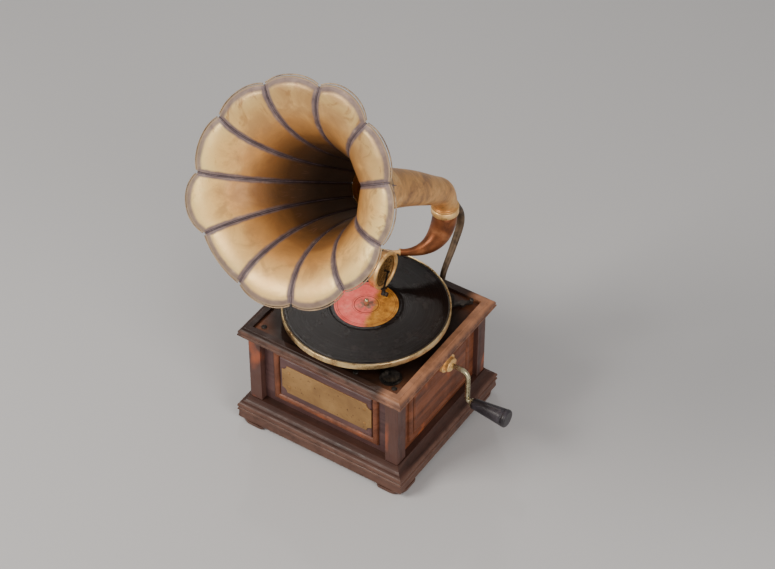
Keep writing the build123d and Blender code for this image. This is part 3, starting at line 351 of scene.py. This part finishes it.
def label_material():
    """Plain paper in two colours with rings printed round its middle. It carries no lettering."""
    g = Graph("label_paper")
    off, reach = from_spindle(g)
    away, deep, _ = g.split(off)
    wavy = g.math("MULTIPLY_ADD", g.noise(g.place(), 40, 3), 0.02, -0.01)
    split = g.math("ADD", g.math("MULTIPLY", away, 0.95), g.math("MULTIPLY", deep, 0.3))
    split = g.math("ADD", split, wavy)
    paper = g.ramp(g.noise(g.place(), 70, 5, 0.65), (0.3, srgb(236, 92, 88)), (0.55, srgb(255, 122, 112)),
                   (0.8, srgb(255, 160, 146)))
    gold = g.ramp(g.noise(g.place(), 85, 5, 0.65), (0.3, srgb(140, 86, 36)), (0.55, srgb(202, 138, 54)),
                  (0.8, srgb(232, 178, 92)))
    colour = g.mix(g.span(split, 0.004, 0.015), paper, gold)
    for at, width in LABEL_RINGS:
        ring = g.span(g.math("ABSOLUTE", g.math("SUBTRACT", reach, at)), width * 0.4, width, 0.7, 0.0)
        colour = g.mix(ring, colour, srgb(96, 48, 34))
    broken = g.span(g.noise(g.place(), 190, 4), 0.35, 0.6)
    worn = g.math("MULTIPLY", g.span(reach, 0.008, 0.019, 1.0, 0.0), broken)
    colour = g.mix(worn, colour, srgb(150, 120, 104))
    shade = g.math("MULTIPLY", g.span(g.noise(g.place(), 120, 5, 0.7), 0.5, 0.75), 0.4)
    colour = g.mix(shade, colour, srgb(120, 66, 50))
    g.set(Base_Color=colour, Specular_IOR_Level=0.25)
    g.set(Roughness=g.span(g.noise(g.place(), 120), 0.3, 0.7, 0.55, 0.8))
    g.set(Normal=g.bump(g.noise(g.place(), 900, 3), 0.0001, 0.5))
    return g.material


def felt_material():
    g = Graph("felt")
    fibres = g.noise(g.place(), 700, 6, 0.75, 1.2)
    colour = g.ramp(fibres, (0.3, srgb(44, 36, 28)), (0.7, srgb(92, 78, 60)))
    g.set(Base_Color=colour, Roughness=0.95, Sheen_Weight=0.4, Normal=g.bump(fibres, 0.0006, 0.9))
    return g.material


def mica_material():
    """Brown mica with faint flakes and clouds."""
    g = Graph("mica")
    flakes = g.noise(g.place(), 130, 5, 0.7, 2.0)
    colour = g.ramp(flakes, (0.3, srgb(64, 44, 24)), (0.55, srgb(116, 84, 46)), (0.8, srgb(168, 130, 78)))
    g.set(Base_Color=colour, Coat_Weight=0.5, Coat_Roughness=0.1)
    g.set(Roughness=g.span(flakes, 0.3, 0.7, 0.14, 0.32))
    g.set(Normal=g.bump(flakes, 0.0002, 0.4))
    return g.material


MATERIALS["record"] = record_material()
MATERIALS["label"] = label_material()
MATERIALS["felt"] = felt_material()
MATERIALS["mica"] = mica_material()

FINISH = {
    "base": ("base_moulding", "corner_feet"), "top": ("top_frame",), "post": ("corner_posts",),
    "front": ("front_panel", "back_panel"), "side": ("left_panel", "right_panel", "panel_beads"),
    "board": ("motor_board",), "bottom": ("bottom_board",), "plate": ("front_plate", "plate_pins"),
    "bright_brass": ("crank_escutcheon", "escutcheon_screws", "horn_collar", "soundbox_ring"),
    "bracket": ("horn_bracket",), "rim": ("platter_rim",), "copper": ("tone_arm",),
    "old_gold": ("gooseneck", "soundbox_body", "horn_elbow", "horn_neck"),
    "nickel": ("crank_arm", "spindle"),
    "steel": ("bracket_screws", "motor_pillars", "click_spring", "mainspring", "governor_shaft",
              "governor_springs", "barrel_arbor", "click_pawl", "winding_pinion", "needle"),
    "dark_steel": ("board_screws", "speed_dial", "speed_knob", "brake_lever", "stylus_bar", "needle_screw"),
    "movement": ("winding_bush", "spindle_gears", "spring_barrel", "barrel_cover", "governor_disc",
                 "winding_wheel"),
    "iron": ("motor_plates", "governor_bearings", "platter"), "grip": ("crank_grip",),
    "lead": ("governor_weights",), "seam": ("horn_seams",), "lip": ("horn_rim_wire",),
    "record": ("record",), "label": ("record_label",), "mica": ("diaphragm",),
    "felt": ("turntable_felt",),
}
BEVELLED = {
    "base_moulding": 0.0009, "top_frame": 0.0008, "corner_posts": 0.0009, "front_panel": 0.0007,
    "back_panel": 0.0007, "left_panel": 0.0007, "right_panel": 0.0007, "front_plate": 0.0003,
    "motor_board": 0.0004,
}


def dress_cad():
    """Gives every CAD node its material, a smooth surface, and soft edges where the wood is worn."""
    for key, names in FINISH.items():
        for name in names:
            obj = NODES[name]
            obj.data.materials.clear()
            obj.data.materials.append(MATERIALS[key])
            weld = obj.modifiers.new("weld", "WELD")
            weld.merge_threshold = 1e-6
            if name in BEVELLED:
                bevel = obj.modifiers.new("bevel", "BEVEL")
                bevel.width = BEVELLED[name]
                bevel.segments = 3
                bevel.limit_method = "ANGLE"
                bevel.angle_limit = math.radians(25)


dress_cad()


# ------------------------------------------------------------ the horn's petals
TILT = math.radians(31.0)
PETALS = 11
STEP = 360.0 / PETALS
FIRST_SEAM = -170.0
RIM_FORWARD, RIM_ABOVE = 0.3916, 0.309  # middle of the rim, from the collar's top face
SAG = 0.012
PROFILE = [(0.235, 0.0335), (0.165, 0.040), (0.094, 0.050), (0.021, 0.076), (-0.007, 0.118), (0.0, 0.149)]
BULGE = [0.0, 0.001, 0.003, 0.006, 0.009, 0.002]
SIDES = (-1.0, -0.5, 0.0, 0.5, 1.0)
SWELL = (0.0, 0.85, 1.0, 0.85, 0.0)
LOBE = (0.0, 1.22, 1.0, 1.22, 0.0)
LOBE_SHARE = (0, 0, 0, 0.05, 0.5, 1)
REACH = (0.018, 0.002, 0.009, 0.009, 0.009, 0.009, 0.009, 0.014, 0.008, 0.007, 0.008)
SEAM_GAP = 0.0006
SHEET = 0.0011
COLLAR_TOP = Vector((HORN.x, HORN.y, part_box("horn_collar")[1].z))


def bell_point(back, radius, degrees):
    turn = math.radians(degrees)
    right, up = radius * math.cos(turn), radius * math.sin(turn)
    up -= SAG * (back / PROFILE[0][0]) ** 2
    y = COLLAR_TOP.y - RIM_FORWARD + back * math.cos(TILT) + up * math.sin(TILT)
    z = COLLAR_TOP.z + RIM_ABOVE - back * math.sin(TILT) + up * math.cos(TILT)
    return np.array((COLLAR_TOP.x + right, y, z))


def profile_normals():
    normals = []
    for i in range(len(PROFILE)):
        a, b = PROFILE[max(i - 1, 0)], PROFILE[min(i + 1, len(PROFILE) - 1)]
        run, rise = b[0] - a[0], b[1] - a[1]
        size = math.hypot(run, rise)
        normals.append((-rise / size, run / size))
    return normals


def petal_net(k, depth):
    rows = []
    for i, ((back, radius), (nb, nr)) in enumerate(zip(PROFILE, profile_normals())):
        half = STEP / 2 - math.degrees(SEAM_GAP / radius)
        row = []
        for side, swell, lobe in zip(SIDES, SWELL, LOBE):
            forward = BULGE[i] * swell - depth
            reach = radius + nr * forward + REACH[k] * lobe * LOBE_SHARE[i]
            row.append(bell_point(back + nb * forward, reach, FIRST_SEAM + STEP * (k + 0.5) + half * side))
        rows.append(row)
    return np.array(rows)


def bernstein(order, t):
    return np.array([math.comb(order, i) * t**i * (1 - t) ** (order - i) for i in range(order + 1)])


def surface(net, along, across):
    """Points of a Bezier surface on a grid."""
    b_along = bernstein(net.shape[0] - 1, along)
    b_across = bernstein(net.shape[1] - 1, across)
    return np.einsum("iu,jv,ijk->uvk", b_along, b_across, net)


def build_petals():
    """Eleven sheet-metal petals. Each point knows its way from the seam, from the end and down the bell."""
    across = (1 - np.cos(np.linspace(0, math.pi, 33))) / 2
    along = np.linspace(0, 1, 90) ** 0.85
    verts, faces, marks = [], [], {"from_seam": [], "from_end": [], "down": [], "inside": [], "petal": []}
    rng = np.random.default_rng(7)
    for k in range(PETALS):
        front = surface(petal_net(k, 0.0), along, across)
        behind = surface(petal_net(k, SHEET), along, across)
        steps = np.linalg.norm(np.diff(front, axis=1), axis=2)
        left = np.concatenate([np.zeros((len(along), 1)), np.cumsum(steps, axis=1)], axis=1)
        seam_far = np.minimum(left, left[:, -1:] - left)
        runs = np.linalg.norm(np.diff(front, axis=0), axis=2)
        down = np.concatenate([np.zeros((1, len(across))), np.cumsum(runs, axis=0)], axis=0)
        end_far = down[-1:, :] - down
        share = end_far / down[-1:, :]
        normal = np.cross(np.gradient(front, axis=0), np.gradient(front, axis=1))
        normal /= np.linalg.norm(normal, axis=2, keepdims=True)
        if (front.mean(axis=(0, 1)) - behind.mean(axis=(0, 1))) @ normal.mean(axis=(0, 1)) < 0:
            normal = -normal
        width = 0.0045 * (1 - 0.75 * share)
        groove = np.exp(-((seam_far / width) ** 2)) * 0.0007
        rim_roll = np.exp(-((end_far - 0.0095) / 0.0018) ** 2) * 0.0004
        inner = front - normal * (groove + rim_roll)[:, :, None]
        tag = rng.random()
        for grid, side in ((inner, 1.0), (behind, 0.0)):
            base = len(verts)
            verts.extend(grid.reshape(-1, 3))
            rows, cols = grid.shape[:2]
            for i in range(rows - 1):
                for j in range(cols - 1):
                    near = base + i * cols + j
                    quad = [near, near + cols, near + cols + 1, near + 1]
                    faces.append(quad if side else quad[::-1])
            marks["from_seam"].extend(seam_far.reshape(-1))
            marks["from_end"].extend(end_far.reshape(-1))
            marks["down"].extend(share.reshape(-1))
            marks["inside"].extend([side] * (rows * cols))
            marks["petal"].extend([tag] * (rows * cols))
        a, b = len(verts) - 2 * rows * cols, len(verts) - rows * cols
        ring = [*range(cols)] + [i * cols + cols - 1 for i in range(1, rows)]
        ring += [(rows - 1) * cols + j for j in range(cols - 2, -1, -1)]
        ring += [i * cols for i in range(rows - 2, 0, -1)]
        for p, q in zip(ring, ring[1:] + ring[:1]):
            faces.append([a + p, a + q, b + q, b + p])
    mesh = bpy.data.meshes.new("horn_bell")
    mesh.from_pydata([tuple(v) for v in verts], [], faces)
    for name, values in marks.items():
        mesh.attributes.new(name, "FLOAT", "POINT").data.foreach_set("value", np.array(values, np.float32))
    mesh.polygons.foreach_set("use_smooth", [True] * len(mesh.polygons))
    mesh.update()
    obj = bpy.data.objects.new("horn_bell", mesh)
    bpy.context.collection.objects.link(obj)
    return obj


def bell_material():
    """Gilt towards the ends of the petals, then tan and brown, and dark in the throat, with a grey-violet
    band along each seam and each rounded end. The darkening down into the throat is painted shade."""
    g = Graph("gilt_bell")
    seam, end = g.attribute("from_seam"), g.attribute("from_end")
    down, inside, petal = g.attribute("down"), g.attribute("inside"), g.attribute("petal")
    place = g.vector("ADD", g.place(), g.join(g.math("MULTIPLY", petal, 3.0), 0.0, 0.0))
    _, _, height = g.split(g.place())
    clouds = g.noise(place, 17, 5, 0.6, 0.8)
    depth = g.math("ADD", down, g.math("MULTIPLY_ADD", clouds, 0.22, -0.11))
    # Painted shade: the colour darkens from the petal ends down into the throat.
    gilt_and_painted_shade = g.ramp(depth, (0.0, srgb(255, 226, 150)), (0.13, srgb(255, 206, 124)),
                  (0.23, srgb(216, 158, 88)), (0.35, srgb(150, 104, 58)), (0.48, srgb(98, 68, 42)),
                  (0.7, srgb(92, 74, 60)), (1.0, srgb(126, 116, 108)))
    # Painted highlight: the lower petals, which face up towards the light, turn a paler pinkish cream.
    low = g.span(height, COLLAR_TOP.z + 0.26, COLLAR_TOP.z + 0.12)
    lower_highlight = g.math("MULTIPLY", low, g.span(depth, 0.1, 0.35, 0.55, 0.0))
    gilt_and_painted_shade = g.mix(lower_highlight, gilt_and_painted_shade, srgb(250, 186, 118))
    # Painted shade: a browner band in the hollow of each lobe, a few centimetres in from its end, broken up
    # by noise.
    lobe_shade = g.math("MULTIPLY", g.span(end, 0.02, 0.05), g.span(end, 0.06, 0.1, 1.0, 0.0))
    lobe_shade = g.math("MULTIPLY", lobe_shade, g.span(g.noise(place, 24, 4, 0.6, 1.0), 0.4, 0.62, 0.0, 0.55))
    gilt_and_painted_shade = g.mix(lobe_shade, gilt_and_painted_shade, srgb(170, 124, 76))
    patches = g.noise(place, 31, 4, 0.6, 1.4)
    brown = g.math("MULTIPLY", g.span(patches, 0.54, 0.66), g.span(end, 0.008, 0.075, 0.75, 0.0))
    gilt_and_painted_shade = g.mix(g.math("MULTIPLY", brown, g.span(height, COLLAR_TOP.z + 0.2, COLLAR_TOP.z + 0.36)), gilt_and_painted_shade,
                 srgb(158, 108, 60))
    # Cloudy, darker brown on the upper petals, stronger towards the top of the bell.
    high = g.span(height, COLLAR_TOP.z + 0.3, COLLAR_TOP.z + 0.43)
    upper_darkening = g.math("MULTIPLY", high, g.span(clouds, 0.3, 0.6, 0.5, 0.85))
    gilt_and_painted_shade = g.mix(upper_darkening, gilt_and_painted_shade, srgb(158, 116, 72))
    streak_run = g.join(g.math("MULTIPLY", seam, 420), g.math("MULTIPLY", down, 9), petal)
    streaks = g.math("MULTIPLY", g.span(g.noise(streak_run, 1.0, 3, 0.6), 0.6, 0.74),
                     g.span(down, 0.35, 0.55, 0.0, 0.35))
    gilt_and_painted_shade = g.mix(streaks, gilt_and_painted_shade, srgb(176, 132, 116))
    speckle = g.noise(place, 240, 4, 0.7)
    gilt_and_painted_shade = g.mix(g.span(speckle, 0.6, 0.76, 0.0, 0.35), gilt_and_painted_shade, srgb(150, 112, 74))
    ragged = g.math("MULTIPLY_ADD", g.noise(place, 75, 3), 0.003, -0.0015)
    band = g.span(down, 0.0, 0.75, 0.0062, 0.0012, smooth=False)
    along_seam = g.span(g.math("SUBTRACT", g.math("ADD", seam, ragged), band), -0.0022, 0.0016, 1.0, 0.0)
    across_end = g.span(g.math("ADD", end, ragged), 0.0068, 0.0122, 1.0, 0.0)
    paint_share = g.math("MAXIMUM", g.math("MULTIPLY", along_seam, g.span(down, 0.5, 0.9, 1.0, 0.3)),
                         g.math("MULTIPLY", across_end, 0.9))
    paint = g.ramp(g.noise(place, 60, 4, 0.65), (0.3, srgb(96, 80, 84)), (0.6, srgb(132, 112, 108)),
                   (0.82, srgb(180, 156, 140)))
    # Painted shade: the seam paint also darkens deeper in the throat.
    paint = g.mix(g.span(down, 0.25, 0.7), paint, srgb(56, 40, 36))
    colour = g.mix(paint_share, gilt_and_painted_shade, paint)
    colour = g.mix(g.span(end, 0.0006, 0.0032, 0.8, 0.0), colour, srgb(186, 158, 122))
    crease = g.span(seam, 0.0004, 0.0014, 0.8, 0.0)
    colour = g.mix(crease, colour, srgb(52, 42, 50))
    outside = g.ramp(clouds, (0.3, srgb(120, 86, 54)), (0.55, srgb(176, 138, 90)),
                     (0.78, srgb(214, 182, 130)))
    outside = g.mix(g.math("MULTIPLY", along_seam, 0.5), outside, srgb(92, 74, 70))
    colour = g.mix(inside, outside, colour)
    dull = g.math("ADD", clouds, g.math("MULTIPLY", paint_share, 0.4))
    g.set(Base_Color=colour, Metallic=g.span(down, 0.1, 0.7, 0.2, 0.05))
    g.set(Roughness=g.span(dull, 0.35, 0.95, 0.34, 0.56))
    dents = g.noise(place, 42, 3, 0.5)
    g.set(Normal=g.bump(dents, 0.0022, 0.35, g.bump(speckle, 0.0002, 0.4)))
    return g.material


def add_piece(obj, body, slot, material, *replaced):
    obj.data.materials.clear()
    obj.data.materials.append(material)
    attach(obj, body)
    if replaced:
        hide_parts(*replaced)
    return obj


add_piece(build_petals(), "horn", "horn_gold", bell_material(), "horn_petals")


def build_mat():
    """The felt mat: a soft disc with a slightly uneven surface and a fuzzy rounded edge."""
    low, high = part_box("turntable_felt")
    outer, inner = (high.x - low.x) / 2, 0.0052
    rng = np.random.default_rng(3)
    radii = [inner, 0.02, 0.05, 0.08, 0.11, outer - 0.0012, outer - 0.0004]
    top, bottom = high.z - 0.00012, low.z + 0.00005
    outline = [(r, top) for r in radii] + [(outer - 0.0001, (top + bottom) / 2)]
    outline += [(r, bottom) for r in radii[::-1]]
    turns, verts, faces = 180, [], []
    for i in range(turns):
        a = 2 * math.pi * i / turns
        for r, z in outline:
            lift = rng.uniform(-0.00008, 0.00008)
            verts.append((SPINDLE.x + r * math.cos(a), SPINDLE.y + r * math.sin(a), z + lift * (z == top)))
    n = len(outline)
    for i in range(turns):
        for j in range(n):
            a, b = i * n, (i + 1) % turns * n
            faces.append([a + j, b + j, b + (j + 1) % n, a + (j + 1) % n])
    mesh = bpy.data.meshes.new("felt_mat")
    mesh.from_pydata(verts, [], faces)
    mesh.polygons.foreach_set("use_smooth", [True] * len(mesh.polygons))
    obj = bpy.data.objects.new("felt_mat", mesh)
    bpy.context.collection.objects.link(obj)
    return obj, 2 * outer


mat, mat_width = build_mat()
add_piece(mat, "turntable", "felt", MATERIALS["felt"], "turntable_felt")


# ------------------------------------------------------------ stage, light and camera
FLOOR_REACH = 6.0


def floor():
    mesh = bpy.data.meshes.new("floor")
    corners = [(x * FLOOR_REACH, y * FLOOR_REACH) for x, y in ((-1, -1), (1, -1), (1, 1), (-1, 1))]
    mesh.from_pydata([(x, y, FLOOR) for x, y in corners], [], [[0, 1, 2, 3]])
    obj = bpy.data.objects.new("floor", mesh)
    bpy.context.collection.objects.link(obj)
    g = Graph("floor")
    g.set(Base_Color=srgb(205, 205, 207), Roughness=g.span(g.noise(g.place(), 3), 0.3, 0.7, 0.7, 0.8))
    mesh.materials.append(g.material)


def softbox(name, at, target, power, width, height, colour=(1, 1, 1)):
    light = bpy.data.lights.new(name, "AREA")
    light.shape = "RECTANGLE"
    light.size, light.size_y = width, height
    light.energy = power
    light.color = colour
    obj = bpy.data.objects.new(name, light)
    obj.location = at
    obj.rotation_euler = (Vector(target) - Vector(at)).to_track_quat("-Z", "Y").to_euler()
    bpy.context.collection.objects.link(obj)


AZIMUTH, ELEVATION = math.radians(33.3486), math.radians(43.1010)
EYE = Vector((1.429845, -2.123429, 2.731876))


def camera():
    data = bpy.data.cameras.new("camera")
    data.sensor_width = 36.0
    data.lens = 111.48
    obj = bpy.data.objects.new("camera", data)
    flat = math.cos(ELEVATION)
    back = Vector((math.sin(AZIMUTH) * flat, -math.cos(AZIMUTH) * flat, math.sin(ELEVATION)))
    obj.location = EYE
    obj.rotation_euler = (-back).to_track_quat("-Z", "Y").to_euler()
    bpy.context.collection.objects.link(obj)
    bpy.context.scene.camera = obj


# The window's light strikes the record short of its middle and is thrown towards the camera.
GLARE_AT = Vector((SPINDLE.x - 0.06, SPINDLE.y - 0.075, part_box("record")[1].z))
TO_CAMERA = (EYE - GLARE_AT).normalized()
GLARE_FROM = GLARE_AT + 2.6 * Vector((-TO_CAMERA.x, -TO_CAMERA.y, TO_CAMERA.z))

floor()
target = (0.0, 0.0, 0.35)
softbox("key", (-1.3, -2.0, 2.3), target, 74, 1.3, 1.3, (1.0, 0.94, 0.86))
softbox("fill", (2.4, -1.2, 1.5), target, 46, 1.6, 1.6, (1.0, 0.94, 0.88))
softbox("window", GLARE_FROM, GLARE_AT, 4.0, 0.12, 0.2, (1.0, 0.95, 0.9))
world = bpy.data.worlds.new("studio")
world.use_nodes = True
world.node_tree.nodes["Background"].inputs["Color"].default_value = (0.9, 0.88, 0.86, 1.0)
world.node_tree.nodes["Background"].inputs["Strength"].default_value = 0.38
bpy.context.scene.world = world
camera()
